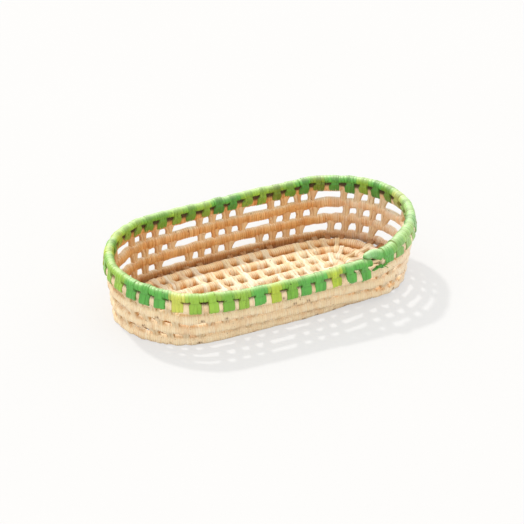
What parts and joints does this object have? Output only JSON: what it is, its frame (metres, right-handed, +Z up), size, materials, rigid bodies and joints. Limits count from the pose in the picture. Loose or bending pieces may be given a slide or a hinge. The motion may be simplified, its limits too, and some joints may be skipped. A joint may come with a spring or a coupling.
{
  "type": "oval basket",
  "caption": "Shallow oval basket coiled from leaf-wrapped fibre, with a flat floor, an open-stitched wall that leans out, and a green-wrapped rim with tabs.",
  "frame": {"origin": "centre of the outline on the table, at the flat foot of the coil", "axes": "+X along the length, towards the end where each row steps up to the next; +Y across, from the side with the steps to the side without; +Z up"},
  "size_m": [0.2863, 0.1589, 0.063],
  "materials": {
    "natural_leaf": "dry straw-coloured leaf strip, matt to soft satin",
    "fibre_bundle": "dry split fibres, matt",
    "green_leaf": "dyed leaf strip, soft satin",
    "light_green_leaf": "dyed leaf strip, soft satin",
    "deep_green_leaf": "dyed leaf strip, soft satin",
    "yellow_green_leaf": "dyed leaf strip, soft satin",
    "fresh_green_leaf": "dyed leaf strip, soft satin"
  },
  "bodies": {
    "root": {"core_bundle": "fibre_bundle", "floor_start": "natural_leaf", "floor_turn_1": "natural_leaf", "floor_turn_2": "natural_leaf", "floor_turn_3": "natural_leaf", "rim_strip_01": "green_leaf", "rim_strip_02": "yellow_green_leaf", "rim_strip_03": "light_green_leaf", "rim_strip_04": "fresh_green_leaf", "rim_strip_05": "deep_green_leaf", "rim_strip_06": "green_leaf", "rim_strip_07": "yellow_green_leaf", "rim_strip_08": "light_green_leaf", "rim_strip_09": "fresh_green_leaf", "rim_strip_10": "deep_green_leaf", "rim_strip_11": "green_leaf", "rim_strip_12": "yellow_green_leaf", "rim_strip_13": "light_green_leaf", "rim_strip_14": "fresh_green_leaf", "rim_strip_15": "deep_green_leaf", "rim_strip_16": "green_leaf", "rim_strip_17": "yellow_green_leaf", "tail_knot": "deep_green_leaf", "wall_turn_1": "natural_leaf", "wall_turn_2": "natural_leaf", "wall_turn_3": "natural_leaf", "wall_turn_4": "natural_leaf"}
  },
  "joints": []
}
